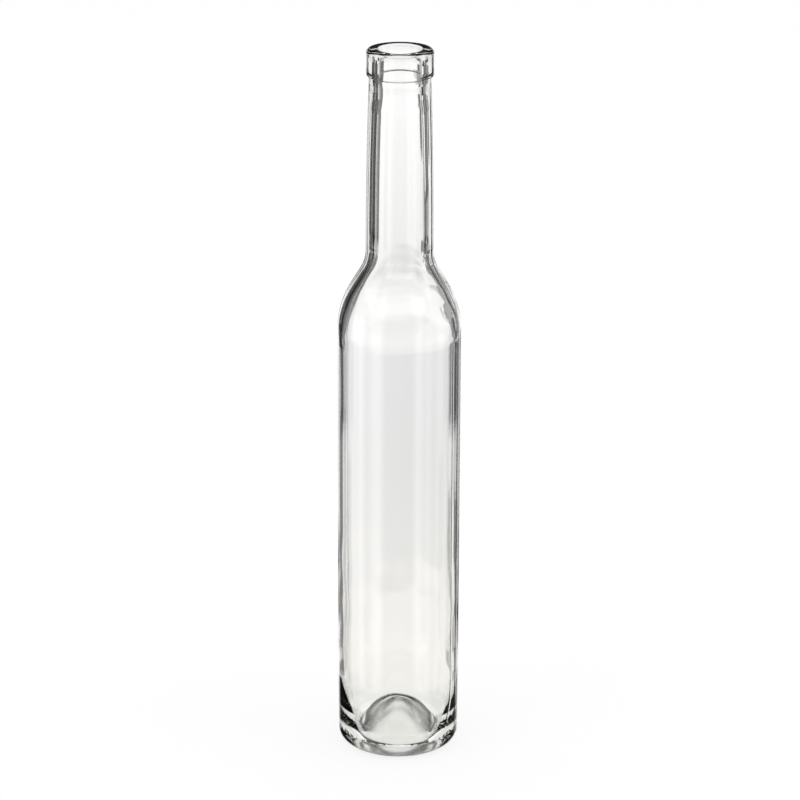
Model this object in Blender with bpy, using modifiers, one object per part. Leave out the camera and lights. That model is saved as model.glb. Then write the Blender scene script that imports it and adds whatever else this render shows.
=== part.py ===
"""Cork-finish glass bottle: one piece of clear moulded glass, modelled at its real size in metres.

The bottle stands on its resting ring at Z = 0, and its axis is the Z axis. Its whole section is one
line in the XZ plane: up the inside from the middle of the floor, over the rim, down the outside and
up under the hollow base. The Screw modifier turns that line into the glass.
"""
import math

import bpy

COLLECTION_NAME = "glass_bottle_part"
NODE_NAME = "glass_bottle"

# Lengths that stack up along the axis, from the table to the rim
BODY_LENGTH = 0.1944
SHOULDER_LENGTH = 0.0354
NECK_LENGTH = 0.0760
RING_HEIGHT = 0.0122

# Body, heel and shoulder, which starts lower inside than outside
BODY_DIAMETER = 0.0540
BODY_WALL = 0.0031
HEEL_RADIUS = 0.0064
SHOULDER_SLOPE_LENGTH = 0.0083
SHOULDER_CROWN_SHARE = 0.68
SHOULDER_GLASS = 0.0050

# The bore for the cork: a short lead-in, a straight seat, a cone below it and a slow widening down the neck
BORE_DIAMETER = 0.0185
MOUTH_ROUND = 0.0004
LEAD_IN_WIDTH = 0.0003
LEAD_IN_DEPTH = 0.0030
CORK_SEAT_DEPTH = 0.0220
LEAD_OUT_WIDTH = 0.00045
LEAD_OUT_LENGTH = 0.0035
NECK_BORE_DIAMETER = 0.0216

# Walls of the neck, and the ring that stands out round the mouth
NECK_TOP_WALL = 0.0040
NECK_FOOT_WALL = 0.0038
RING_STEP = 0.0012
RING_TOP_ROUND = 0.0018
RING_FOOT_ROUND = 0.0011
RING_FOOT_DRAFT = 0.0002

# The hollow under the base, the floor over it, and the thick glass inside the heel
PUNT_DEPTH = 0.0160
PUNT_REACH = 0.0093
FLOOR_WALL = 0.0035
RESTING_RING_WIDTH = 0.0022
TROUGH_HEIGHT = 0.0052
INNER_HEEL_HEIGHT = 0.0340

# Fullness of the curves in the base, where larger numbers fill the corner more
PUNT_EXPONENT = 2.5
DOME_CROWN_EXPONENT = 2.5
DOME_FLANK_EXPONENT = 1.3
INNER_HEEL_EXPONENT = 1.6

# Facets
TURN_STEPS = 48
PUNT_STEPS = 13
DOME_STEPS = 11
INNER_HEEL_STEPS = 9
SHOULDER_STEPS = 7
NECK_STEPS = 7
NECK_BORE_STEPS = 5
HEEL_STEPS = 6
ROUND_STEPS = 4
SMALL_ROUND_STEPS = 2
MERGE_DISTANCE = 0.00001

# Look of the glass
GLASS_COLOUR = (0.93, 0.95, 0.94, 1.0)
GLASS_ROUGHNESS = 0.02
GLASS_IOR = 1.52

QUARTER_TURN = math.pi / 2
HALF_TURN = math.pi
FULL_TURN = 2 * math.pi

# Sizes that follow from the ones above
NECK_START = BODY_LENGTH + SHOULDER_LENGTH
NECK_END = NECK_START + NECK_LENGTH
HEIGHT = NECK_END + RING_HEIGHT
BODY_RADIUS = BODY_DIAMETER / 2
INNER_RADIUS = BODY_RADIUS - BODY_WALL
BORE_RADIUS = BORE_DIAMETER / 2
SEAT_FOOT = HEIGHT - CORK_SEAT_DEPTH
LEAD_OUT_RADIUS = BORE_RADIUS + LEAD_OUT_WIDTH
NECK_BORE_RADIUS = NECK_BORE_DIAMETER / 2
NECK_TOP_RADIUS = BORE_RADIUS + NECK_TOP_WALL
NECK_FOOT_RADIUS = NECK_BORE_RADIUS + NECK_FOOT_WALL
RING_RADIUS = NECK_TOP_RADIUS + RING_STEP
RESTING_RING_OUTSIDE = BODY_RADIUS - HEEL_RADIUS
PUNT_RADIUS = RESTING_RING_OUTSIDE - RESTING_RING_WIDTH
TROUGH_RADIUS = (RESTING_RING_OUTSIDE + PUNT_RADIUS) / 2


def arc(centre, radius, start, end, steps):
    """Points on a circle from one angle to another, both ends included."""
    points = []
    for step in range(steps + 1):
        angle = start + (end - start) * step / steps
        points.append((centre[0] + radius * math.cos(angle), centre[1] + radius * math.sin(angle)))
    return points


def shoulder(body_radius, neck_radius, start):
    """The S-shaped run from the body up to the neck: a crown, a straight slope and a hollow.

    The crown stands upright where it leaves the body, and the hollow where it meets the neck. Only one
    sum of their two radii does that and leaves a slope of the given length between them.
    """
    step_in = body_radius - neck_radius
    rise = NECK_START - start
    span = step_in ** 2 + rise ** 2 - SHOULDER_SLOPE_LENGTH ** 2
    both_radii = span / (2 * step_in)
    crown_radius = both_radii * SHOULDER_CROWN_SHARE
    hollow_radius = both_radii - crown_radius
    crown_centre = (body_radius - crown_radius, start)
    hollow_centre = (neck_radius + hollow_radius, NECK_START)
    direction = math.atan2(rise, both_radii - step_in)
    slope = direction - math.atan2(SHOULDER_SLOPE_LENGTH, both_radii)
    crown = arc(crown_centre, crown_radius, 0, slope, SHOULDER_STEPS)
    hollow = arc(hollow_centre, hollow_radius, slope + HALF_TURN, HALF_TURN, SHOULDER_STEPS)
    return crown + hollow


def dome():
    """The floor inside, from its top on the axis down to the level foot of its dome."""
    points = []
    for step in range(DOME_STEPS + 1):
        across = math.sin(QUARTER_TURN * step / DOME_STEPS) if step < DOME_STEPS else 1
        rise = (1 - across ** DOME_CROWN_EXPONENT) ** DOME_FLANK_EXPONENT
        height = TROUGH_HEIGHT + (PUNT_DEPTH + FLOOR_WALL - TROUGH_HEIGHT) * rise
        points.append((TROUGH_RADIUS * across, height))
    return points


def punt():
    """The bell-shaped hollow under the base, from its top on the axis out to the resting ring."""
    foot = math.exp(-(PUNT_RADIUS / PUNT_REACH) ** PUNT_EXPONENT)
    points = []
    for step in range(PUNT_STEPS + 1):
        radius = PUNT_RADIUS * step / PUNT_STEPS
        bell = math.exp(-(radius / PUNT_REACH) ** PUNT_EXPONENT)
        points.append((radius, PUNT_DEPTH * (bell - foot) / (1 - foot)))
    return points


def inner_heel():
    """The inside of the heel, where the glass grows thicker from the wall down to the trough."""
    power = 2 / INNER_HEEL_EXPONENT
    points = []
    for step in range(1, INNER_HEEL_STEPS + 1):
        angle = QUARTER_TURN * step / INNER_HEEL_STEPS
        across = math.sin(angle) ** power
        drop = math.cos(angle) ** power if step < INNER_HEEL_STEPS else 0
        radius = TROUGH_RADIUS + (INNER_RADIUS - TROUGH_RADIUS) * across
        points.append((radius, INNER_HEEL_HEIGHT - (INNER_HEEL_HEIGHT - TROUGH_HEIGHT) * drop))
    return points


def neck_bore():
    """The inside of the neck: upright at its foot, and ever closer to the axis up to the cone."""
    lean = LEAD_OUT_RADIUS - NECK_BORE_RADIUS
    points = []
    for step in range(1, NECK_BORE_STEPS + 1):
        along = step / NECK_BORE_STEPS
        height = NECK_START + (SEAT_FOOT - LEAD_OUT_LENGTH - NECK_START) * along
        points.append((NECK_BORE_RADIUS + lean * along ** 2, height))
    return points


def bore():
    """The cork bore, from the bottom of the cork's seat up to the rounded edge of the mouth."""
    seat = [(BORE_RADIUS, SEAT_FOOT), (BORE_RADIUS, HEIGHT - LEAD_IN_DEPTH)]
    mouth_centre = (BORE_RADIUS + LEAD_IN_WIDTH + MOUTH_ROUND, HEIGHT - MOUTH_ROUND)
    return seat + arc(mouth_centre, MOUTH_ROUND, HALF_TURN, QUARTER_TURN, SMALL_ROUND_STEPS)


def ring():
    """The outside of the ring, from the flat rim down to the neck."""
    rim_width = RING_RADIUS - BORE_RADIUS - LEAD_IN_WIDTH - MOUTH_ROUND
    top_round = min(RING_TOP_ROUND, rim_width / 2)
    top_centre = (RING_RADIUS - top_round, HEIGHT - top_round)
    foot_centre = (RING_RADIUS - RING_FOOT_ROUND, NECK_END + RING_FOOT_DRAFT + RING_FOOT_ROUND)
    top = arc(top_centre, top_round, QUARTER_TURN, 0, ROUND_STEPS)
    foot = arc(foot_centre, RING_FOOT_ROUND, 0, -QUARTER_TURN, SMALL_ROUND_STEPS)
    return top + foot


def neck():
    """The neck, one slow curve that stands upright at its foot and leans in under the ring."""
    lean = NECK_FOOT_RADIUS - NECK_TOP_RADIUS
    curve_radius = (NECK_LENGTH ** 2 + lean ** 2) / (2 * lean)
    centre = (NECK_FOOT_RADIUS - curve_radius, NECK_START)
    return arc(centre, curve_radius, math.asin(NECK_LENGTH / curve_radius), 0, NECK_STEPS)


def heel():
    """The rounded heel, from the body down to the resting ring."""
    return arc((RESTING_RING_OUTSIDE, HEEL_RADIUS), HEEL_RADIUS, 0, -QUARTER_TURN, HEEL_STEPS)


def section():
    """The whole section of the glass, without points that fall together."""
    inside = dome() + inner_heel()
    inside += shoulder(INNER_RADIUS, NECK_BORE_RADIUS, BODY_LENGTH - SHOULDER_GLASS) + neck_bore() + bore()
    outside = ring() + neck() + shoulder(BODY_RADIUS, NECK_FOOT_RADIUS, BODY_LENGTH)[::-1] + heel()
    points = []
    for point in inside + outside + punt()[::-1]:
        if not points or math.dist(point, points[-1]) > MERGE_DISTANCE:
            points.append(point)
    return points


def glass_material():
    """Clear colourless glass."""
    material = bpy.data.materials.new("clear_glass")
    material.use_nodes = True
    shader = material.node_tree.nodes["Principled BSDF"]
    shader.inputs["Base Color"].default_value = GLASS_COLOUR
    shader.inputs["Roughness"].default_value = GLASS_ROUGHNESS
    shader.inputs["Metallic"].default_value = 0.0
    shader.inputs["IOR"].default_value = GLASS_IOR
    shader.inputs["Transmission Weight"].default_value = 1.0
    return material


def turned_body(name, points, collection):
    """A solid made by turning a section round the Z axis."""
    mesh = bpy.data.meshes.new(name)
    vertices = [(radius, 0, height) for radius, height in points]
    edges = [(index, index + 1) for index in range(len(points) - 1)]
    mesh.from_pydata(vertices, edges, [])
    body = bpy.data.objects.new(name, mesh)
    collection.objects.link(body)
    turn = body.modifiers.new("turn", "SCREW")
    turn.axis = "Z"
    turn.angle = FULL_TURN
    turn.steps = TURN_STEPS
    turn.render_steps = TURN_STEPS
    turn.use_merge_vertices = True
    turn.merge_threshold = MERGE_DISTANCE
    turn.use_smooth_shade = True
    return body


def clear_scene():
    """Removes the objects and collections that the scene starts with."""
    for item in list(bpy.data.objects):
        bpy.data.objects.remove(item, do_unlink=True)
    for collection in list(bpy.data.collections):
        bpy.data.collections.remove(collection)


def main():
    clear_scene()
    collection = bpy.data.collections.new(COLLECTION_NAME)
    bpy.context.scene.collection.children.link(collection)
    bottle = turned_body(NODE_NAME, section(), collection)
    bottle.data.materials.append(glass_material())


main()
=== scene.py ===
"""Dresses the packed glass bottle: one detailed piece of clear glass, a floor, light and a camera.

The file is laid out as an add-on. Its operators make the bottle and the stage, and main runs them in order.
The glass is turned from one section line, as the real bottle is blown in a mould that is round all the way.
"""
import math
from typing import NamedTuple

import bpy
from mathutils import Matrix, Vector


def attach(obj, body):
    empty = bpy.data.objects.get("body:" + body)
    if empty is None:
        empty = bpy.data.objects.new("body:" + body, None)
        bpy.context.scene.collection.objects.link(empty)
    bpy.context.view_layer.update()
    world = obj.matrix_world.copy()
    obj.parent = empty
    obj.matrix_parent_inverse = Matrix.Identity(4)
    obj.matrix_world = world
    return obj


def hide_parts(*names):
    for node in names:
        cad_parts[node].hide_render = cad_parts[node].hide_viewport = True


bl_info = {
    "name": "Cork-finish glass bottle",
    "version": (1, 0, 0),
    "blender": (4, 5, 0),
    "location": "View3D > Sidebar > Bottle",
    "description": "Makes a clear glass bottle with a cork finish, and the stage that it stands on",
    "category": "Object",
}

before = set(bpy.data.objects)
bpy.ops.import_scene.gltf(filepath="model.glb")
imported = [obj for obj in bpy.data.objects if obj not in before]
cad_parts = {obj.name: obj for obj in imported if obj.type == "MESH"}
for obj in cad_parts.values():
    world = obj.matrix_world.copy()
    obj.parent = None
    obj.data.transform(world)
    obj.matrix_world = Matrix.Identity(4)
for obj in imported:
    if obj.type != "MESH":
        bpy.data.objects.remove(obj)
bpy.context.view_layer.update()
CAD_NODE = "glass_bottle"
BODY_NAME = "root"

QUARTER_TURN = math.pi / 2
HALF_TURN = math.pi
FULL_TURN = 2 * math.pi
MERGE_DISTANCE = 0.000001

# Points on each curve of the section
DOME_STEPS = 22
INNER_HEEL_STEPS = 16
SHOULDER_STEPS = 12
NECK_STEPS = 14
MOUTH_STEPS = 4
RING_TOP_STEPS = 10
RING_FOOT_STEPS = 5
HEEL_STEPS = 12
RESTING_RING_STEPS = 4
PUNT_STEPS = 24

# A gap is left whole when it is longer than a step by no more than this share
STEP_TOLERANCE_SHARE = 0.01

# What each point of the section line carries into the turned glass
OUTWARD = "outward"
SHARES = (
    "wall_share", "ripple_share", "heel_share", "shoulder_share", "lean_share", "knurl_share", "seam_share",
    "mould_side", "punt_share",
)

# Where along the glass each unevenness starts and where it is full: depths under the ring's foot
BELOW_RING = (0.004, 0.012)

# The same as heights above the table
OUTER_WAVE_RISE = (0.004, 0.012)
RIPPLE_FALL = (0.125, 0.060)
LEAN_RISE = (0.010, 0.040)
LEAN_FALL = (0.215, 0.180)
HEEL_FALL = (0.030, 0.012)
HEEL_RISE_OUTSIDE = (0.001, 0.004)
BEND_RISE = (0.185, 0.200)
BEND_FALL = (0.245, 0.225)
KNURL_FALL = (0.0012, 0.0)
SEAM_RISE = (0.003, 0.008)
PUNT_RISE = (0.0005, 0.004)

# The same as distances from the axis, the second as shares of the body's diameter
DOME_REACH = (0.013, 0.018)
KNURL_REACH_SHARES = (0.30, 0.345)

# How strong the heel's ripples are on the dome, under the base and outside
DOME_RIPPLE_SHARE = 0.3
UNDER_RIPPLE_SHARE = 1.6
OUTSIDE_RIPPLE_SHARE = 0.5

# The shoulder's ripples are weaker on the left, and full from this far to the right of the axis
LEFT_BEND_SHARE = 0.15
RIGHT_BEND_PLACE = 0.012

# Added to the seed, so that each unevenness has a pattern of its own
RIPPLE_SEED = 7.0
HEEL_SEED = 11.0
BEND_SEED = 17.0

# How far the wave of the notches is lowered with its tops kept, which leaves bare glass between them
KNURL_SINK_SHARE = 0.4

# The skin of the glass: the print of the mould, and smears that grow between two values of their noise
PRINT_HEIGHT = 0.0003
SMEAR_SCALE = 38.0
SMEAR_RANGE = (0.52, 0.75)
SMEAR_ROUGHNESS = 0.015

# The fibres of the paper that the bottle stands on
FIBRE_SCALE = 900.0
FIBRE_STRENGTH = 0.03
FIBRE_HEIGHT = 0.0002

# Where the lamps stand, how wide the camera's sensor is in millimetres, and how far the camera sees
LAMP_PLACES = (("lamp_left", (-1.3, -0.9, 1.6)), ("lamp_right", (1.4, -0.5, 1.7)))
SENSOR_WIDTH = 36
VIEW_LIMIT = 100


def length(name, description, default):
    """A length in metres that the user may change."""
    return bpy.props.FloatProperty(
        name=name, description=description, default=default, min=0, precision=5, unit="LENGTH")


def share(name, description, default):
    """A plain number between 0 and 1 that the user may change."""
    return bpy.props.FloatProperty(
        name=name, description=description, default=default, min=0, max=1, precision=3)


def number(name, description, default, lowest=0.0):
    """A plain number that the user may change."""
    return bpy.props.FloatProperty(
        name=name, description=description, default=default, min=lowest, precision=3)


def angle(name, description, degrees):
    """An angle that the user may change, given here in degrees."""
    return bpy.props.FloatProperty(
        name=name, description=description, default=math.radians(degrees), subtype="ANGLE")


def count(name, description, default):
    """A whole number that the user may change."""
    return bpy.props.IntProperty(name=name, description=description, default=default, min=1)


def colour(name, description, default):
    """A colour that the user may change."""
    return bpy.props.FloatVectorProperty(
        name=name, description=description, default=default, min=0, max=1, size=3, subtype="COLOR")


class BottleShape(bpy.types.PropertyGroup):
    """Sizes of the bottle, the same as those of the packed solid."""
    body_length: length("Body length", "From the table to the start of the shoulder", 0.1944)
    shoulder_length: length("Shoulder length", "From the body to the foot of the neck", 0.0354)
    neck_length: length("Neck length", "From the shoulder to the ring", 0.0760)
    ring_height: length("Ring height", "From the foot of the ring to the rim", 0.0122)
    body_diameter: length("Body diameter", "Across the body", 0.0540)
    body_wall: length("Body wall", "Thickness of the body's wall", 0.0031)
    heel_radius: length("Heel radius", "Rounding from the body to the resting ring", 0.0064)
    slope_length: length("Slope length", "Straight part between the two bends of the shoulder", 0.0083)
    shoulder_glass: length("Shoulder glass", "How much lower the shoulder starts inside than outside", 0.0050)
    crown_share: share("Crown share", "Share of the upper bend in both bends of the shoulder", 0.68)
    bore_diameter: length("Bore diameter", "Across the cork's seat", 0.0185)
    mouth_round: length("Mouth round", "Rounding of the edge of the mouth", 0.0004)
    lead_in_width: length("Lead-in width", "How much wider than its seat the mouth is on each side", 0.0003)
    lead_in_depth: length("Lead-in depth", "Depth of the cone at the mouth", 0.0030)
    cork_seat_depth: length("Cork seat depth", "Depth of the straight bore for the cork", 0.0220)
    lead_out_width: length(
        "Lead-out width", "How much wider than the seat the bore is on each side below it", 0.00045)
    lead_out_length: length("Lead-out length", "Length of the cone below the cork's seat", 0.0035)
    neck_bore_diameter: length("Neck bore diameter", "Across the inside of the neck's foot", 0.0216)
    neck_top_wall: length("Neck top wall", "Glass round the cork's seat", 0.0040)
    neck_foot_wall: length("Neck foot wall", "Glass at the foot of the neck", 0.0038)
    ring_step: length("Ring step", "How far the ring stands out from the neck", 0.0012)
    ring_top_round: length("Ring top round", "Rounding of the rim's outer edge", 0.0018)
    ring_foot_round: length("Ring foot round", "Rounding of the ring's lower edge", 0.0011)
    ring_foot_draft: length("Ring foot draft", "How far the ring's lower face slopes", 0.0002)
    punt_depth: length("Punt depth", "Height of the hollow under the base", 0.0160)
    punt_reach: length("Punt reach", "Where the hollow has fallen to a third of its height", 0.0093)
    floor_wall: length("Floor wall", "Thickness of the glass over the middle of the hollow", 0.0035)
    resting_ring_width: length("Resting ring width", "Width of the ring that stands on the table", 0.0022)
    trough_height: length("Trough height", "Height of the lowest part of the floor inside", 0.0052)
    inner_heel_height: length("Inner heel height", "Where the wall starts to grow thicker", 0.0340)
    crown_exponent: number("Dome crown exponent", "Fullness of the top of the dome inside", 2.5)
    flank_exponent: number("Dome flank exponent", "Hollowness of the foot of the dome inside", 1.3)
    punt_exponent: number("Punt exponent", "Fullness of the hollow under the base", 2.5)
    heel_exponent: number("Inner heel exponent", "Fullness of the inside of the heel", 1.6)


class GlassSurface(bpy.types.PropertyGroup):
    """How fine the mesh is, and how real pressed and blown glass strays from a perfect turning."""
    turn_steps: count("Turn steps", "Facets round the bottle", 320)
    wall_step: length("Wall step", "Distance between two points of a straight wall", 0.0040)
    wave_height: length("Wave height", "Unevenness of the inner wall", 0.00007)
    outer_wave: share("Outer wave", "Unevenness of the outer wall, as a share of the inner wall's", 0.15)
    wave_width: length("Wave width", "Size of a wave round the bottle", 0.020)
    wave_length: length("Wave length", "Size of a wave along the bottle", 0.070)
    ripple_height: length("Ripple height", "Unevenness of the thicker glass low in the bottle", 0.00035)
    ripple_length: length("Ripple length", "Size of a ripple low in the bottle", 0.018)
    heel_ripple: length("Heel ripple", "Unevenness of the glass in the heel and the floor", 0.00015)
    heel_ripple_width: length("Heel ripple width", "Size of a ripple in the heel, round the bottle", 0.0140)
    heel_ripple_length: length("Heel ripple length", "Size of a ripple in the heel, up and down", 0.0040)
    shoulder_ripple: length("Shoulder ripple", "Unevenness of the glass inside the right shoulder", 0.00032)
    shoulder_ripple_length: length("Shoulder ripple length", "Size of a ripple in the shoulder", 0.0080)
    wall_lean: length("Wall lean", "How far the inside of the body stands off the axis", 0.0003)
    seam_height: length("Seam height", "How far the two mould seams stand out", 0.00014)
    seam_width: length("Seam width", "Half the width of a mould seam", 0.00045)
    seam_turn: angle("Seam turn", "How far the mould seams are turned towards the front on the right", 18)
    knurl_count: count("Knurl count", "Notches across the resting ring", 40)
    knurl_depth: length("Knurl depth", "Depth of a notch in the resting ring", 0.00022)
    seed: number("Seed", "Picks one of the many ways in which the glass may be uneven", 3.0)


class GlassLook(bpy.types.PropertyGroup):
    """Colour and gloss of the glass."""
    tint: colour("Tint", "Colour of the surface of the glass", (0.995, 0.995, 0.995))
    ior: number("Index of refraction", "How much the glass bends light", 1.52, 1.0)
    roughness: share("Roughness", "Least roughness of the glass", 0.0)
    punt_roughness: share("Punt roughness", "Roughness of the hollow under the base", 0.35)
    depth_colour: colour("Colour in depth", "What thick glass turns white light into", (0.60, 0.66, 0.50))
    depth_density: number("Density", "How soon thick glass takes its colour", 10.0)
    skin_scale: number("Skin scale", "Fineness of the mould's print on the outside", 260.0)
    skin_strength: share("Skin strength", "How strongly the mould's print shows", 0.02)


class StageSettings(bpy.types.PropertyGroup):
    """The floor, the light and the camera."""
    floor_width: length("Floor width", "Across the floor", 24.0)
    floor_colour: colour("Floor colour", "Colour of the floor", (0.93, 0.93, 0.93))
    shadow_share: share("Shadow share", "How much of the floor's look follows the light on it", 0.15)
    sky_light: share("Sky light", "Strength of the even light from all sides", 1.0)
    lamp_power: number("Lamp power", "Power of each soft lamp", 5.0)
    lamp_width: length("Lamp width", "Across each soft lamp", 1.2)
    camera_distance: length("Camera distance", "From the bottle's axis to the camera, level", 1.394)
    camera_height: length("Camera height", "From the table to the camera", 0.6283)
    camera_aside: length("Camera aside", "How far the camera stands to the right", 0.0004)
    camera_pitch: angle("Camera pitch", "How far the camera looks down", 18.535)
    camera_roll: angle("Camera roll", "How far the camera is turned about its own line of sight", 0.202)
    camera_lens: number("Camera lens", "Focal length in millimetres on a 36 mm sensor", 150.99)


def arc(centre, radius, start, end, steps):
    """Points on a circle from one angle to another, both ends included."""
    points = []
    for step in range(steps + 1):
        turn = start + (end - start) * step / steps
        points.append((centre[0] + radius * math.cos(turn), centre[1] + radius * math.sin(turn)))
    return points


def shoulder(shape, body_radius, neck_radius, start_height, steps):
    """The S-shaped run from the body up to the neck: a crown, a straight slope and a hollow."""
    neck_start = shape.body_length + shape.shoulder_length
    rise = neck_start - start_height
    step_in = body_radius - neck_radius
    span = step_in ** 2 + rise ** 2 - shape.slope_length ** 2
    both_radii = span / (2 * step_in)
    crown_radius = both_radii * shape.crown_share
    hollow_radius = both_radii - crown_radius
    crown_centre = (body_radius - crown_radius, start_height)
    hollow_centre = (neck_radius + hollow_radius, neck_start)
    direction = math.atan2(rise, both_radii - step_in)
    slope = direction - math.atan2(shape.slope_length, both_radii)
    crown = arc(crown_centre, crown_radius, 0, slope, steps)
    hollow = arc(hollow_centre, hollow_radius, slope + HALF_TURN, HALF_TURN, steps)
    return crown + hollow


def dome(shape, apex_height, foot_radius, foot_height, steps):
    """The bell-shaped run from the top of a dome on the axis down to its level foot."""
    points = []
    for step in range(steps + 1):
        across = math.sin(QUARTER_TURN * step / steps) if step < steps else 1
        rise = (1 - across ** shape.crown_exponent) ** shape.flank_exponent
        points.append((foot_radius * across, foot_height + (apex_height - foot_height) * rise))
    return points


def inner_heel(shape, trough_radius, inner_radius, steps):
    """The inside of the heel, where the glass grows thicker from the wall down to the trough."""
    power = 2 / shape.heel_exponent
    points = []
    for step in range(1, steps + 1):
        turn = QUARTER_TURN * step / steps
        across = math.sin(turn) ** power
        drop = math.cos(turn) ** power if step < steps else 0
        radius = trough_radius + (inner_radius - trough_radius) * across
        height = shape.inner_heel_height - (shape.inner_heel_height - shape.trough_height) * drop
        points.append((radius, height))
    return points


def filled_in(points, step):
    """The same line with points added wherever two lie further apart than a step."""
    filled = points[:1]
    for point in points[1:]:
        last = filled[-1]
        parts = max(1, math.ceil(math.dist(last, point) / step - STEP_TOLERANCE_SHARE))
        for part in range(1, parts + 1):
            ratio = part / parts
            filled.append((last[0] + (point[0] - last[0]) * ratio, last[1] + (point[1] - last[1]) * ratio))
    return filled


def smooth_step(value, start, full):
    """0 up to the start, 1 from the full place on, and soft between them. Either may be the lower one."""
    ratio = min(1.0, max(0.0, (value - start) / (full - start)))
    return ratio * ratio * (3 - 2 * ratio)


def neck_bore(shape, top_height, top_radius, steps):
    """The inside of the neck: upright at its foot, and ever closer to the axis towards the cork's seat."""
    foot_height = shape.body_length + shape.shoulder_length
    foot_radius = shape.neck_bore_diameter / 2
    points = []
    for step in range(1, steps + 1):
        along = step / steps
        radius = foot_radius + (top_radius - foot_radius) * along ** 2
        points.append((radius, foot_height + (top_height - foot_height) * along))
    return points


def mould_radius(shape, surface):
    """Radius of the body without its seams and waves, so that these stay inside the bottle's full width."""
    return shape.body_diameter / 2 - surface.seam_height - surface.wave_height * surface.outer_wave


def inside_line(shape, surface):
    """The inner surface, from the middle of the floor up to the flat of the rim."""
    body_radius = mould_radius(shape, surface)
    resting_outside = body_radius - shape.heel_radius
    trough_radius = resting_outside - shape.resting_ring_width / 2
    inner_radius = shape.body_diameter / 2 - shape.body_wall
    bore_radius = shape.bore_diameter / 2
    height = shape.body_length + shape.shoulder_length + shape.neck_length + shape.ring_height
    line = dome(shape, shape.punt_depth + shape.floor_wall, trough_radius, shape.trough_height, DOME_STEPS)
    line += inner_heel(shape, trough_radius, inner_radius, INNER_HEEL_STEPS)
    start_height = shape.body_length - shape.shoulder_glass
    line += shoulder(shape, inner_radius, shape.neck_bore_diameter / 2, start_height, SHOULDER_STEPS)
    seat_foot = height - shape.cork_seat_depth
    cone_foot = seat_foot - shape.lead_out_length
    line += neck_bore(shape, cone_foot, bore_radius + shape.lead_out_width, NECK_STEPS)
    line += [(bore_radius, seat_foot), (bore_radius, height - shape.lead_in_depth)]
    mouth_centre = (bore_radius + shape.lead_in_width + shape.mouth_round, height - shape.mouth_round)
    line += arc(mouth_centre, shape.mouth_round, HALF_TURN, QUARTER_TURN, MOUTH_STEPS)
    return filled_in(line, surface.wall_step)


def outside_line(shape, surface):
    """The outer surface, from the flat of the rim down to the resting ring."""
    neck_start = shape.body_length + shape.shoulder_length
    neck_end = neck_start + shape.neck_length
    height = neck_end + shape.ring_height
    body_radius = mould_radius(shape, surface)
    neck_top_radius = shape.bore_diameter / 2 + shape.neck_top_wall
    neck_foot_radius = shape.neck_bore_diameter / 2 + shape.neck_foot_wall
    ring_radius = neck_top_radius + shape.ring_step
    top_centre = (ring_radius - shape.ring_top_round, height - shape.ring_top_round)
    foot_height = neck_end + shape.ring_foot_draft + shape.ring_foot_round
    foot_centre = (ring_radius - shape.ring_foot_round, foot_height)
    line = arc(top_centre, shape.ring_top_round, QUARTER_TURN, 0, RING_TOP_STEPS)
    line += arc(foot_centre, shape.ring_foot_round, 0, -QUARTER_TURN, RING_FOOT_STEPS)
    lean = neck_foot_radius - neck_top_radius
    curve_radius = (shape.neck_length ** 2 + lean ** 2) / (2 * lean)
    curve_centre = (neck_foot_radius - curve_radius, neck_start)
    line += arc(curve_centre, curve_radius, math.asin(shape.neck_length / curve_radius), 0, NECK_STEPS)
    line += shoulder(shape, body_radius, neck_foot_radius, shape.body_length, SHOULDER_STEPS)[::-1]
    heel_centre = (body_radius - shape.heel_radius, shape.heel_radius)
    line += arc(heel_centre, shape.heel_radius, 0, -QUARTER_TURN, HEEL_STEPS)
    return filled_in(line, surface.wall_step)


def punt(shape, foot_radius, steps):
    """The bell-shaped hollow under the base, from its top on the axis out to the resting ring."""
    foot = math.exp(-(foot_radius / shape.punt_reach) ** shape.punt_exponent)
    points = []
    for step in range(steps + 1):
        radius = foot_radius * step / steps
        bell = math.exp(-(radius / shape.punt_reach) ** shape.punt_exponent)
        points.append((radius, shape.punt_depth * (bell - foot) / (1 - foot)))
    return points


def under_line(shape, surface):
    """The underside, from the resting ring up to the top of the hollow."""
    resting_outside = mould_radius(shape, surface) - shape.heel_radius
    punt_radius = resting_outside - shape.resting_ring_width
    step = shape.resting_ring_width / RESTING_RING_STEPS
    across = filled_in([(resting_outside, 0), (punt_radius, 0)], step)
    return across + punt(shape, punt_radius, PUNT_STEPS)[::-1]


def normals(points):
    """The outward direction of the glass at each point of the section, as (across, up)."""
    found = []
    for index, point in enumerate(points):
        before = points[max(index - 1, 0)]
        after = points[min(index + 1, len(points) - 1)]
        along = (after[0] - before[0], after[1] - before[1])
        size = math.hypot(*along)
        found.append((-along[1] / size, along[0] / size))
    found[0] = (0.0, 1.0)
    found[-1] = (0.0, -1.0)
    return found


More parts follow.
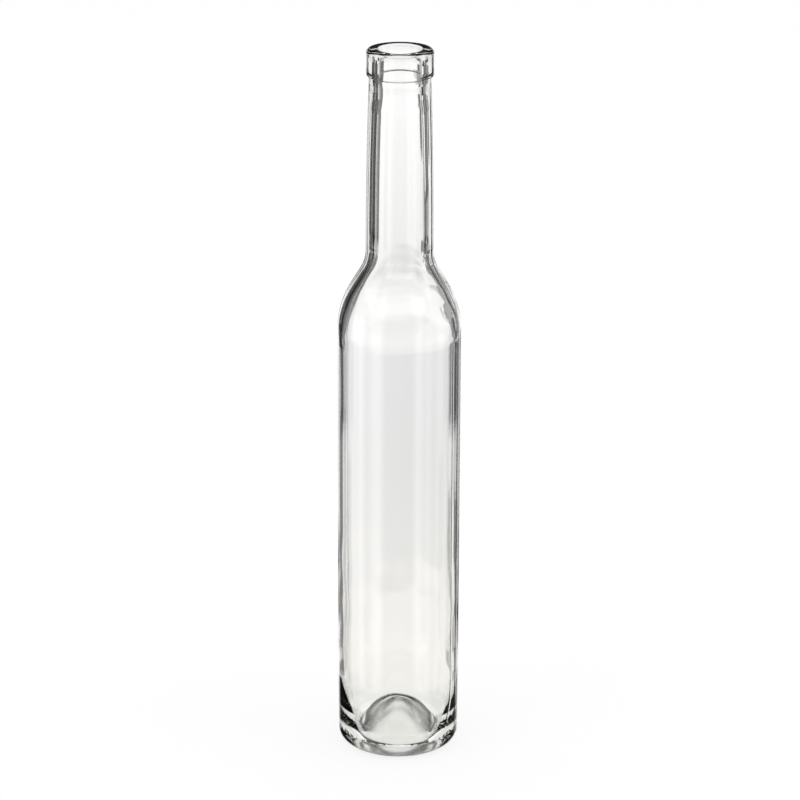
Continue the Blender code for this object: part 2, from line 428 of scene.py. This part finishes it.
def point_shares(shape, surface, side, radius, height):
    """How much of each unevenness a point of the section carries, and on what side of the glass it lies."""
    inside = side == "inside"
    under = side == "under"
    neck_end = shape.body_length + shape.shoulder_length + shape.neck_length
    below_ring = smooth_step(neck_end - height, *BELOW_RING)
    heel = smooth_step(height, *HEEL_FALL)
    shares = dict.fromkeys(SHARES, 0.0)
    if inside:
        shares["wall_share"] = below_ring
        shares["ripple_share"] = smooth_step(height, *RIPPLE_FALL)
        shares["lean_share"] = smooth_step(height, *LEAN_RISE) * smooth_step(height, *LEAN_FALL)
        shares["shoulder_share"] = smooth_step(height, *BEND_RISE) * smooth_step(height, *BEND_FALL)
        past_dome = smooth_step(radius, *DOME_REACH)
        shares["heel_share"] = heel * (DOME_RIPPLE_SHARE + (1 - DOME_RIPPLE_SHARE) * past_dome)
    else:
        shares["mould_side"] = 1.0
        shares["wall_share"] = surface.outer_wave * below_ring * smooth_step(height, *OUTER_WAVE_RISE)
        strength = UNDER_RIPPLE_SHARE if under else OUTSIDE_RIPPLE_SHARE
        shares["heel_share"] = heel * strength * smooth_step(height, *HEEL_RISE_OUTSIDE)
        knurl_reach = [shape.body_diameter * part for part in KNURL_REACH_SHARES]
        shares["knurl_share"] = smooth_step(height, *KNURL_FALL) * smooth_step(radius, *knurl_reach)
        if under:
            shares["punt_share"] = smooth_step(height, *PUNT_RISE)
        else:
            shares["seam_share"] = smooth_step(height, *SEAM_RISE) * below_ring
    return shares


def section_mesh(shape, surface):
    """The whole section as a line of edges, each point with its outward direction and its shares."""
    parts = (("inside", inside_line(shape, surface)), ("outside", outside_line(shape, surface)),
             ("under", under_line(shape, surface)))
    points = []
    sides = []
    for side, line in parts:
        for point in line:
            if not points or math.dist(point, points[-1]) > 2 * MERGE_DISTANCE:
                points.append(point)
                sides.append(side)
    mesh = bpy.data.meshes.new("bottle_section")
    edges = [(index, index + 1) for index in range(len(points) - 1)]
    mesh.from_pydata([(radius, 0, height) for radius, height in points], edges, [])
    mesh.attributes.new(OUTWARD, "FLOAT_VECTOR", "POINT")
    for name in SHARES:
        mesh.attributes.new(name, "FLOAT", "POINT")
    for index, (across, up) in enumerate(normals(points)):
        mesh.attributes[OUTWARD].data[index].vector = (across, 0, up)
    for index, ((radius, height), side) in enumerate(zip(points, sides)):
        for name, value in point_shares(shape, surface, side, radius, height).items():
            mesh.attributes[name].data[index].value = value
    return mesh


class Tree:
    """Short ways to add nodes to one node tree and to join them."""

    def __init__(self, tree):
        self.tree = tree
        self.column = 0

    def add(self, kind, inputs=None, **settings):
        """A new node with its settings and its inputs, which are values or other nodes' outputs."""
        node = self.tree.nodes.new(kind)
        node.location = (self.column * 180, 0)
        self.column += 1
        for name, value in settings.items():
            setattr(node, name, value)
        for key, value in (inputs or {}).items():
            self.put(node.inputs[key], value)
        return node

    def put(self, socket, value):
        """Gives a socket a value, or joins an output to it."""
        if isinstance(value, bpy.types.NodeSocket):
            self.tree.links.new(value, socket)
        else:
            socket.default_value = value

    def math(self, operation, *values):
        """The result of one piece of arithmetic."""
        node = self.add("ShaderNodeMath", dict(enumerate(values)), operation=operation)
        return node.outputs[0]

    def vector(self, operation, *values):
        """The result of one piece of vector arithmetic."""
        node = self.add("ShaderNodeVectorMath", dict(enumerate(values)), operation=operation)
        return node.outputs["Vector"]

    def scaled(self, vector, factor):
        """A vector times a number."""
        node = self.add("ShaderNodeVectorMath", {"Vector": vector, "Scale": factor}, operation="SCALE")
        return node.outputs["Vector"]

    def soft(self, value, low, high, start=0.0, end=1.0):
        """A soft change from start to end while a value goes from low to high."""
        inputs = {"Value": value, "From Min": low, "From Max": high, "To Min": start, "To Max": end}
        return self.add("ShaderNodeMapRange", inputs, interpolation_type="SMOOTHSTEP").outputs["Result"]


TURNING_INPUTS = (
    ("Turn Steps", "NodeSocketInt", "turn_steps"),
    ("Wave Height", "NodeSocketFloat", "wave_height"),
    ("Wave Width", "NodeSocketFloat", "wave_width"),
    ("Wave Length", "NodeSocketFloat", "wave_length"),
    ("Ripple Height", "NodeSocketFloat", "ripple_height"),
    ("Ripple Length", "NodeSocketFloat", "ripple_length"),
    ("Heel Ripple", "NodeSocketFloat", "heel_ripple"),
    ("Heel Ripple Width", "NodeSocketFloat", "heel_ripple_width"),
    ("Heel Ripple Length", "NodeSocketFloat", "heel_ripple_length"),
    ("Shoulder Ripple", "NodeSocketFloat", "shoulder_ripple"),
    ("Shoulder Ripple Length", "NodeSocketFloat", "shoulder_ripple_length"),
    ("Wall Lean", "NodeSocketFloat", "wall_lean"),
    ("Seam Height", "NodeSocketFloat", "seam_height"),
    ("Seam Width", "NodeSocketFloat", "seam_width"),
    ("Seam Turn", "NodeSocketFloat", "seam_turn"),
    ("Knurl Count", "NodeSocketInt", "knurl_count"),
    ("Knurl Depth", "NodeSocketFloat", "knurl_depth"),
    ("Seed", "NodeSocketFloat", "seed"),
)


def centred_noise(t, place, seed, detail):
    """Even noise from -1 to 1 at a place."""
    inputs = {"Vector": place, "W": seed, "Scale": 1.0, "Detail": detail, "Roughness": 0.5}
    noise = t.add("ShaderNodeTexNoise", inputs, noise_dimensions="4D").outputs["Fac"]
    return t.math("MULTIPLY", t.math("SUBTRACT", noise, 0.5), 2.0)


def turning_tree():
    """The node tree that turns a section line into a closed wall of glass, with waves, seams and knurls."""
    tree = bpy.data.node_groups.new("turn_the_section", "GeometryNodeTree")
    tree.interface.new_socket(name="Section", in_out="INPUT", socket_type="NodeSocketGeometry")
    for name, kind, _ in TURNING_INPUTS:
        tree.interface.new_socket(name=name, in_out="INPUT", socket_type=kind)
    tree.interface.new_socket(name="Material", in_out="INPUT", socket_type="NodeSocketMaterial")
    tree.interface.new_socket(name="Glass", in_out="OUTPUT", socket_type="NodeSocketGeometry")
    t = Tree(tree)
    given = t.add("NodeGroupInput").outputs
    section = given["Section"]

    # A grid with a row for each point of the section, a column for each step round and one to close the turn.
    # Each index is taken half a point further on, so that rounding can't move it to the column before
    domain = t.add("GeometryNodeAttributeDomainSize", {"Geometry": section}, component="MESH")
    points = domain.outputs["Point Count"]
    columns = t.math("ADD", given["Turn Steps"], 1.0)
    grid = t.add("GeometryNodeMeshGrid", {"Vertices X": columns, "Vertices Y": points}).outputs["Mesh"]
    index = t.add("GeometryNodeInputIndex").outputs[0]
    column = t.math("FLOOR", t.math("DIVIDE", t.math("ADD", index, 0.5), points))
    row = t.math("SUBTRACT", index, t.math("MULTIPLY", column, points))

    def sampled(value, kind):
        """What the section line has at this row."""
        node = t.add("GeometryNodeSampleIndex", data_type=kind, domain="POINT")
        t.put(node.inputs["Geometry"], section)
        t.put(node.inputs["Value"], value)
        t.put(node.inputs["Index"], row)
        return node.outputs["Value"]

    def carried(name, kind="FLOAT"):
        """An attribute of the section line at this row."""
        node = t.add("GeometryNodeInputNamedAttribute", {"Name": name}, data_type=kind)
        return sampled(node.outputs["Attribute"], kind)

    turn = t.math("MULTIPLY", t.math("DIVIDE", column, given["Turn Steps"]), FULL_TURN)
    cosine = t.math("COSINE", turn)
    sine = t.math("SINE", turn)

    def turned(vector):
        """A direction or place of the section, turned to this column."""
        parts = t.add("ShaderNodeSeparateXYZ", {"Vector": vector}).outputs
        across = t.math("MULTIPLY", parts["X"], cosine)
        deep = t.math("MULTIPLY", parts["X"], sine)
        return t.add("ShaderNodeCombineXYZ", {"X": across, "Y": deep, "Z": parts["Z"]}).outputs["Vector"]

    place = turned(sampled(t.add("GeometryNodeInputPosition").outputs[0], "FLOAT_VECTOR"))
    outward = turned(carried(OUTWARD, "FLOAT_VECTOR"))
    along = t.add("ShaderNodeSeparateXYZ", {"Vector": place}).outputs

    def uneven(width, length_up, own_seed, detail):
        """Noise whose swells have one size round the bottle and one up it."""
        size = t.add("ShaderNodeCombineXYZ", {"X": width, "Y": width, "Z": length_up}).outputs["Vector"]
        seed = t.math("ADD", given["Seed"], own_seed)
        return centred_noise(t, t.vector("DIVIDE", place, size), seed, detail)

    def raised(form, height, name):
        """A form at its own height, where and as strongly as the section line's share says."""
        return t.math("MULTIPLY", t.math("MULTIPLY", form, height), carried(name))

    wave = uneven(given["Wave Width"], given["Wave Length"], 0.0, 1.0)
    wave = raised(wave, given["Wave Height"], "wall_share")
    ripple = uneven(given["Ripple Length"], given["Ripple Length"], RIPPLE_SEED, 1.0)
    ripple = raised(ripple, given["Ripple Height"], "ripple_share")
    bend = uneven(given["Shoulder Ripple Length"], given["Shoulder Ripple Length"], BEND_SEED, 1.0)
    bend = raised(bend, given["Shoulder Ripple"], "shoulder_share")
    bend = t.math("MULTIPLY", bend, t.soft(along["X"], 0.0, RIGHT_BEND_PLACE, LEFT_BEND_SHARE, 1.0))

    # Outside, the heel's ripples only sink in, so that the glass stays within its full width
    heel = uneven(given["Heel Ripple Width"], given["Heel Ripple Length"], HEEL_SEED, 2.0)
    heel = raised(t.math("SUBTRACT", heel, carried("mould_side")), given["Heel Ripple"], "heel_share")

    aside = t.math("MULTIPLY", along["X"], t.math("SINE", given["Seam Turn"]))
    deep = t.math("MULTIPLY", along["Y"], t.math("COSINE", given["Seam Turn"]))
    from_seam = t.math("DIVIDE", t.math("ADD", aside, deep), given["Seam Width"])
    seam = t.math("EXPONENT", t.math("MULTIPLY", t.math("MULTIPLY", from_seam, from_seam), -1.0))
    seam = raised(seam, given["Seam Height"], "seam_share")

    notch = t.math("COSINE", t.math("MULTIPLY", turn, given["Knurl Count"]))
    notch = t.math("SUBTRACT", t.math("MULTIPLY", notch, 1.0 + KNURL_SINK_SHARE), KNURL_SINK_SHARE)
    notch = raised(t.math("MAXIMUM", notch, 0.0), given["Knurl Depth"], "knurl_share")

    amount = t.math("ADD", t.math("ADD", wave, ripple), t.math("ADD", heel, seam))
    amount = t.math("ADD", amount, bend)
    uneven_place = t.vector("ADD", place, t.scaled(outward, amount))
    lean = t.math("MULTIPLY", t.math("MULTIPLY", given["Wall Lean"], -1.0), carried("lean_share"))
    shift = t.add("ShaderNodeCombineXYZ", {"X": lean, "Z": notch}).outputs["Vector"]
    uneven_place = t.vector("ADD", uneven_place, shift)

    glass = t.add("GeometryNodeSetPosition", {"Geometry": grid, "Position": uneven_place}).outputs["Geometry"]
    for name in ("mould_side", "punt_share"):
        stored = t.add("GeometryNodeStoreNamedAttribute", {"Geometry": glass, "Name": name},
                       data_type="FLOAT", domain="POINT")
        t.put(stored.inputs["Value"], carried(name))
        glass = stored.outputs["Geometry"]
    merged = t.add("GeometryNodeMergeByDistance", {"Geometry": glass, "Distance": MERGE_DISTANCE})
    flipped = t.add("GeometryNodeFlipFaces", {"Mesh": merged.outputs["Geometry"]})
    smooth = t.add("GeometryNodeSetShadeSmooth", {"Geometry": flipped.outputs["Mesh"]})
    real = t.add("GeometryNodeRealizeInstances", {"Geometry": smooth.outputs["Geometry"]})
    glass = t.add("GeometryNodeSetMaterial", {
        "Geometry": real.outputs["Geometry"], "Material": given["Material"]}).outputs["Geometry"]
    t.add("NodeGroupOutput", {"Glass": glass})
    return tree


def glass_skin():
    """A node group for the skin of moulded glass: a normal from its print, a roughness from its smears."""
    group = bpy.data.node_groups.new("glass_skin", "ShaderNodeTree")
    face = group.interface
    for name in ("Scale", "Strength", "Least Roughness", "Smears", "Punt Roughness"):
        face.new_socket(name=name, in_out="INPUT", socket_type="NodeSocketFloat")
    face.new_socket(name="Normal", in_out="OUTPUT", socket_type="NodeSocketVector")
    face.new_socket(name="Roughness", in_out="OUTPUT", socket_type="NodeSocketFloat")
    t = Tree(group)
    given = t.add("NodeGroupInput").outputs
    place = t.add("ShaderNodeTexCoord").outputs["Object"]
    mould_print = t.add("ShaderNodeTexNoise", {"Vector": place, "Scale": given["Scale"], "Detail": 2.0})
    side = t.add("ShaderNodeAttribute", attribute_name="mould_side").outputs["Fac"]
    strength = t.math("MULTIPLY", side, given["Strength"])
    bump = t.add("ShaderNodeBump", {
        "Strength": strength, "Distance": PRINT_HEIGHT, "Height": mould_print.outputs["Fac"]})
    cloud = t.add("ShaderNodeTexNoise", {"Vector": place, "Scale": SMEAR_SCALE, "Detail": 4.0})
    smears = t.math("MULTIPLY", t.soft(cloud.outputs["Fac"], *SMEAR_RANGE), given["Smears"])
    punt_share = t.add("ShaderNodeAttribute", attribute_name="punt_share").outputs["Fac"]
    punt_roughness = t.math("MULTIPLY", punt_share, given["Punt Roughness"])
    roughness = t.math("ADD", t.math("ADD", given["Least Roughness"], smears), punt_roughness)
    t.add("NodeGroupOutput", {"Normal": bump.outputs["Normal"], "Roughness": roughness})
    return group


def empty_tree(owner):
    """The node tree of a material or a world, with nothing in it yet."""
    owner.use_nodes = True
    owner.node_tree.nodes.clear()
    return Tree(owner.node_tree)


def glass_material(look):
    """Clear flint glass: a clean surface, and a faint green-grey that only thick glass shows."""
    material = bpy.data.materials.new("clear_flint_glass")
    t = empty_tree(material)
    skin = t.add("ShaderNodeGroup", {
        "Scale": look.skin_scale, "Strength": look.skin_strength, "Least Roughness": look.roughness,
        "Smears": SMEAR_ROUGHNESS, "Punt Roughness": look.punt_roughness}, node_tree=glass_skin()).outputs
    glass = t.add("ShaderNodeBsdfPrincipled", {
        "Base Color": (*look.tint, 1), "Metallic": 0.0, "IOR": look.ior, "Transmission Weight": 1.0,
        "Roughness": skin["Roughness"], "Normal": skin["Normal"]}).outputs["BSDF"]
    depth = t.add("ShaderNodeVolumeAbsorption", {
        "Color": (*look.depth_colour, 1), "Density": look.depth_density}).outputs["Volume"]
    t.add("ShaderNodeOutputMaterial", {"Surface": glass, "Volume": depth})
    return material


# Half the height over which the top and the foot of a flag fade, in degrees
FLAG_SOFTNESS = 0.3


class Flag(NamedTuple):
    """A dark flag in the studio, placed in degrees from straight behind the bottle and from the horizon."""
    centre: float
    half_width: float
    lowest: float
    highest: float
    edge: float
    darkness: float


def dark_flag():
    """A node group for one dark flag at the edge of the studio, as the share of light that is left there."""
    group = bpy.data.node_groups.new("dark_flag", "ShaderNodeTree")
    face = group.interface
    for name in ("Azimuth", "Elevation", "Centre", "Half Width", "Lowest", "Highest", "Edge", "Darkness"):
        face.new_socket(name=name, in_out="INPUT", socket_type="NodeSocketFloat")
    face.new_socket(name="Light", in_out="OUTPUT", socket_type="NodeSocketFloat")
    t = Tree(group)
    given = t.add("NodeGroupInput").outputs
    aside = t.math("SUBTRACT", given["Azimuth"], given["Centre"])
    aside = t.math("ABSOLUTE", t.math("WRAP", aside, 180.0, -180.0))
    inner = t.math("SUBTRACT", given["Half Width"], given["Edge"])
    outer = t.math("ADD", given["Half Width"], given["Edge"])
    across = t.soft(aside, inner, outer, 1.0, 0.0)
    over_foot = t.math("SUBTRACT", given["Elevation"], given["Lowest"])
    under_top = t.math("SUBTRACT", given["Highest"], given["Elevation"])
    above = t.soft(over_foot, -FLAG_SOFTNESS, FLAG_SOFTNESS)
    below = t.soft(under_top, -FLAG_SOFTNESS, FLAG_SOFTNESS)
    shade = t.math("MULTIPLY", below, given["Darkness"])
    cover = t.math("MULTIPLY", t.math("MULTIPLY", across, above), shade)
    t.put(t.add("NodeGroupOutput").inputs["Light"], t.math("SUBTRACT", 1.0, cover))
    return group


# Flags that the glass shows
THROUGH_FLAGS = (
    # The left band of the shoulder
    Flag(-30, 12, -9.6, 40, 2, 0.97),
    Flag(-50, 9, -9.6, 40, 2, 0.88),
    Flag(-66, 7, -9.6, 12, 2, 0.90),
    # The left edge of the ring and the neck
    Flag(-23, 4, -15.8, -9.2, 1, 0.95),
    Flag(-33, 7, -15.8, -9.2, 1, 0.97),
    Flag(-45, 4, -15.8, -9.2, 1, 0.85),
    Flag(-56, 8, -15.8, -9.2, 1, 0.91),
    # The left edge of the body, from the top down
    Flag(-36, 6, -19.0, -15.4, 2, 0.90),
    Flag(-26, 6, -19.0, -15.4, 2, 0.50),
    Flag(-45, 3, -19.0, -15.4, 1, 0.55),
    Flag(-54, 5, -19.0, -15.4, 2, 0.96),
    Flag(-29, 10, -24.6, -18.7, 2, 0.72),
    Flag(-67, 6, -27, -19.5, 2, 0.95),
    # The right band of the shoulder
    Flag(42, 6, -9.6, 40, 2, 0.90),
    Flag(33, 5, -9.6, 40, 2, 0.70),
    Flag(24, 6, -9.6, 40, 2, 0.65),
    Flag(16, 4, -9.6, 40, 2, 0.35),
    Flag(58, 9, -9.6, 40, 3, 0.85),
    # The right edge of the ring and the neck, from the top down
    Flag(26, 5, -13.6, -9.2, 1, 0.92),
    Flag(40, 6, -14.4, -9.2, 1, 0.88),
    Flag(53, 7, -14.4, -9.2, 2, 0.86),
    Flag(60, 7, -16.5, -14.0, 2, 0.97),
    Flag(47, 5, -16.5, -14.0, 2, 0.75),
    Flag(36, 7, -16.5, -14.0, 2, 0.50),
    # The right edge of the body, from the top down
    Flag(34, 14, -19.0, -16.1, 2, 0.90),
    Flag(58, 6, -19.0, -16.1, 2, 0.85),
    Flag(37, 9, -20.4, -18.7, 2, 0.35),
    Flag(28, 8, -22.8, -20.1, 3, 0.88),
    Flag(34, 12, -27, -22.4, 3, 0.45),
    # A faint shade in the middle of the body
    Flag(14, 16, -21.5, -17.2, 4, 0.09),
    # Beside and behind the camera
    Flag(106, 9, -27, 60, 6, 0.85),
    Flag(180, 33, -27, 60, 7, 0.50),
    Flag(-120, 9, -27, 60, 6, 0.85),
    # The dark corners of the base
    Flag(-85, 55, -67, -45, 5, 0.85),
    Flag(85, 55, -67, -45, 5, 0.85),
    # All round, above the bottle and below it
    Flag(0, 200, 9, 22, 5, 0.85),
    Flag(0, 200, 38, 95, 5, 0.92),
    Flag(0, 200, -67, -49, 5, 0.70),
)

# Flags that the glass mirrors: left, right, behind the camera, far right, and three behind the bottle
MIRROR_FLAGS = (
    Flag(-62, 37, -60, 60, 5, 0.97),
    Flag(45, 20, -60, 60, 6, 0.90),
    Flag(180, 33, -60, 60, 7, 0.95),
    Flag(92, 26, -60, 60, 6, 0.88),
    Flag(17, 13, -22.8, -17.0, 3, 0.95),
    Flag(-15, 12, -22.2, -20.6, 2, 0.90),
    Flag(-8, 7, -16.8, 40, 2, 0.95),
)

# What the glass mirrors grows dark between these heights above the horizon, down to this share of its light
MIRROR_DARKENING = (4.0, 11.0)
MIRROR_TOP_LIGHT = 0.08

# Tone of the backdrop that the glass shows, from low to high, in degrees above the horizon. The ramp that
# holds these tones runs from straight down to the horizon
RAMP_DEGREES = 90.0
BACKDROP_STRENGTH = 1.18
BACKDROP = (
    (-46.0, (1.0, 1.0, 1.0)),
    (-36.0, (0.75, 0.74, 0.72)),
    (-30.0, (0.83, 0.82, 0.795)),
    (-23.5, (0.87, 0.855, 0.825)),
    (-21.5, (0.85, 0.84, 0.825)),
    (-19.5, (0.81, 0.81, 0.81)),
    (-17.5, (0.82, 0.82, 0.825)),
    (-16.0, (0.835, 0.83, 0.835)),
    (-15.0, (0.87, 0.865, 0.87)),
    (-13.0, (0.95, 0.945, 0.95)),
    (-11.5, (0.96, 0.955, 0.96)),
    (-1.0, (0.95, 0.95, 0.95)),
)


def world_material(stage):
    """The world: white to the camera, even light on the floor, and a white studio with flags in the glass."""
    world = bpy.data.worlds.new("white_studio")
    t = empty_tree(world)
    direction = t.add("ShaderNodeTexCoord").outputs["Generated"]
    parts = t.add("ShaderNodeSeparateXYZ", {"Vector": direction}).outputs
    azimuth = t.math("DEGREES", t.math("ARCTAN2", parts["X"], parts["Y"]))
    elevation = t.math("DEGREES", t.math("ARCSINE", parts["Z"]))
    group = dark_flag()

    def studio(flags, light):
        """The light that comes from each direction past a set of flags."""
        for flag in flags:
            node = t.add("ShaderNodeGroup", {
                "Azimuth": azimuth, "Elevation": elevation, "Centre": flag.centre,
                "Half Width": flag.half_width, "Lowest": flag.lowest, "Highest": flag.highest,
                "Edge": flag.edge, "Darkness": flag.darkness}, node_tree=group)
            light = t.math("MULTIPLY", light, node.outputs["Light"])
        return light

    up = t.math("DIVIDE", t.math("ADD", elevation, RAMP_DEGREES), RAMP_DEGREES)
    ramp = t.add("ShaderNodeValToRGB", {"Fac": up})
    stops = ramp.color_ramp.elements
    for place, shade in BACKDROP:
        stops.new((place + RAMP_DEGREES) / RAMP_DEGREES).color = (*shade, 1)
    stops.remove(stops[0])
    stops.remove(stops[-1])
    through = studio(THROUGH_FLAGS, BACKDROP_STRENGTH)
    mirrored = studio(MIRROR_FLAGS, t.soft(elevation, *MIRROR_DARKENING, 1.0, MIRROR_TOP_LIGHT))
    kinds = t.add("ShaderNodeLightPath").outputs
    light = t.add("ShaderNodeMix", {0: kinds["Is Glossy Ray"], 2: stage.sky_light, 3: mirrored}).outputs[0]
    light = t.add("ShaderNodeMix", {0: kinds["Is Transmission Ray"], 2: light, 3: through}).outputs[0]
    light = t.add("ShaderNodeMix", {0: kinds["Is Camera Ray"], 2: light, 3: 1.0}).outputs[0]
    tone = t.add("ShaderNodeMix", data_type="RGBA")
    t.put(tone.inputs["Factor"], kinds["Is Transmission Ray"])
    t.put(tone.inputs["A"], (1, 1, 1, 1))
    t.put(tone.inputs["B"], ramp.outputs["Color"])
    background = t.add("ShaderNodeBackground", {"Color": tone.outputs["Result"], "Strength": light})
    t.add("ShaderNodeOutputWorld", {"Surface": background.outputs["Background"]})
    return world


def floor_material(stage):
    """Pale paper: white to the camera, apart from the shadow that falls on it."""
    material = bpy.data.materials.new("pale_paper")
    t = empty_tree(material)
    place = t.add("ShaderNodeTexCoord").outputs["Object"]
    fibre = t.add("ShaderNodeTexNoise", {"Vector": place, "Scale": FIBRE_SCALE, "Detail": 2.0})
    bump = t.add("ShaderNodeBump", {
        "Strength": FIBRE_STRENGTH, "Distance": FIBRE_HEIGHT, "Height": fibre.outputs["Fac"]})
    paper = t.add("ShaderNodeBsdfDiffuse", {
        "Color": (*stage.floor_colour, 1), "Normal": bump.outputs["Normal"]}).outputs["BSDF"]
    lit = t.add("ShaderNodeEmission", {"Color": (1, 1, 1, 1), "Strength": 1.0}).outputs["Emission"]
    kinds = t.add("ShaderNodeLightPath").outputs
    in_glass = t.math("MAXIMUM", kinds["Is Glossy Ray"], kinds["Is Transmission Ray"])
    seen = t.math("MAXIMUM", kinds["Is Camera Ray"], in_glass)
    lit_share = t.math("MULTIPLY", seen, 1 - stage.shadow_share)
    mixed = t.add("ShaderNodeMixShader", {0: lit_share, 1: paper, 2: lit}).outputs["Shader"]
    t.add("ShaderNodeOutputMaterial", {"Surface": mixed})
    return material


def paper_floor(stage):
    """A wide sheet of pale paper under the bottle, which the glass itself doesn't show."""
    half = stage.floor_width / 2
    mesh = bpy.data.meshes.new("floor")
    corners = [(-half, -half, 0), (half, -half, 0), (half, half, 0), (-half, half, 0)]
    mesh.from_pydata(corners, [], [(0, 1, 2, 3)])
    mesh.materials.append(floor_material(stage))
    floor = bpy.data.objects.new("floor", mesh)
    floor.visible_glossy = False
    floor.visible_transmission = False
    return floor


def soft_lamp(stage, name, place):
    """A soft square lamp that faces the foot of the bottle, and that neither camera nor glass shows."""
    light = bpy.data.lights.new(name, "AREA")
    light.energy = stage.lamp_power
    light.size = stage.lamp_width
    lamp = bpy.data.objects.new(name, light)
    lamp.location = place
    lamp.rotation_euler = (-Vector(place)).to_track_quat("-Z", "Y").to_euler()
    lamp.visible_camera = False
    lamp.visible_glossy = False
    lamp.visible_transmission = False
    return lamp


def photo_camera(stage):
    """The camera, at the photograph's place and tilt."""
    lens = bpy.data.cameras.new("camera")
    lens.sensor_width = SENSOR_WIDTH
    lens.lens = stage.camera_lens
    lens.clip_end = VIEW_LIMIT
    camera = bpy.data.objects.new("camera", lens)
    tilt = Matrix.Rotation(QUARTER_TURN - stage.camera_pitch, 4, "X")
    roll = Matrix.Rotation(stage.camera_roll, 4, "Z")
    place = Matrix.Translation((stage.camera_aside, -stage.camera_distance, stage.camera_height))
    camera.matrix_world = place @ tilt @ roll
    return camera


class OBJECT_OT_make_glass_bottle(bpy.types.Operator):
    """Make the bottle from its section, with the waves, seams and knurls of real glass"""
    bl_idname = "object.make_glass_bottle"
    bl_label = "Glass Bottle"

    def execute(self, context):
        shape = context.scene.bottle_shape
        surface = context.scene.glass_surface
        section = section_mesh(shape, surface)
        line = bpy.data.objects.new("bottle_section", section)
        context.scene.collection.objects.link(line)
        tree = turning_tree()
        turning = line.modifiers.new("turning", "NODES")
        turning.node_group = tree
        sockets = {item.name: item.identifier for item in tree.interface.items_tree if item.in_out == "INPUT"}
        for name, _, setting in TURNING_INPUTS:
            turning[sockets[name]] = getattr(surface, setting)
        glass = glass_material(context.scene.glass_look)
        turning[sockets["Material"]] = glass
        graph = context.evaluated_depsgraph_get()
        mesh = bpy.data.meshes.new_from_object(line.evaluated_get(graph), depsgraph=graph)
        bpy.data.objects.remove(line, do_unlink=True)
        if not mesh.polygons:
            raise RuntimeError("the section gave no glass")
        mesh.name = "bottle_glass"
        mesh.materials.clear()
        mesh.materials.append(glass)
        mesh.polygons.foreach_set("material_index", [0] * len(mesh.polygons))
        bottle = bpy.data.objects.new("bottle_glass", mesh)
        context.scene.collection.objects.link(bottle)
        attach(bottle, BODY_NAME)
        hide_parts(CAD_NODE)
        return {"FINISHED"}


class OBJECT_OT_set_bottle_stage(bpy.types.Operator):
    """Make the floor, the light and the camera"""
    bl_idname = "object.set_bottle_stage"
    bl_label = "Stage"

    def execute(self, context):
        stage = context.scene.bottle_stage
        scene = context.scene
        floor = paper_floor(stage)
        scene.collection.objects.link(floor)
        scene.world = world_material(stage)
        for name, place in LAMP_PLACES:
            scene.collection.objects.link(soft_lamp(stage, name, place))
        camera = photo_camera(stage)
        scene.collection.objects.link(camera)
        scene.camera = camera
        scene.view_settings.view_transform = "Standard"
        return {"FINISHED"}


class VIEW3D_PT_glass_bottle(bpy.types.Panel):
    """Buttons and sizes of the bottle"""
    bl_label = "Glass Bottle"
    bl_idname = "VIEW3D_PT_glass_bottle"
    bl_space_type = "VIEW_3D"
    bl_region_type = "UI"
    bl_category = "Bottle"

    def draw(self, context):
        layout = self.layout
        layout.operator(OBJECT_OT_make_glass_bottle.bl_idname)
        layout.operator(OBJECT_OT_set_bottle_stage.bl_idname)
        for name, group in SETTINGS:
            box = layout.box()
            box.label(text=group.__doc__)
            for setting in group.__annotations__:
                box.prop(getattr(context.scene, name), setting)


SETTINGS = (
    ("bottle_shape", BottleShape),
    ("glass_surface", GlassSurface),
    ("glass_look", GlassLook),
    ("bottle_stage", StageSettings),
)
CLASSES = tuple(group for _, group in SETTINGS) + (
    OBJECT_OT_make_glass_bottle, OBJECT_OT_set_bottle_stage, VIEW3D_PT_glass_bottle)


def register():
    """Adds the classes, and gives each scene its settings."""
    for item in CLASSES:
        bpy.utils.register_class(item)
    for name, group in SETTINGS:
        setattr(bpy.types.Scene, name, bpy.props.PointerProperty(type=group))


def unregister():
    """Takes the settings and the classes away again."""
    for name, _ in SETTINGS:
        delattr(bpy.types.Scene, name)
    for item in reversed(CLASSES):
        bpy.utils.unregister_class(item)


def main():
    """Makes everything in order."""
    register()
    bpy.ops.object.make_glass_bottle()
    bpy.ops.object.set_bottle_stage()


if __name__ == "__main__":
    main()
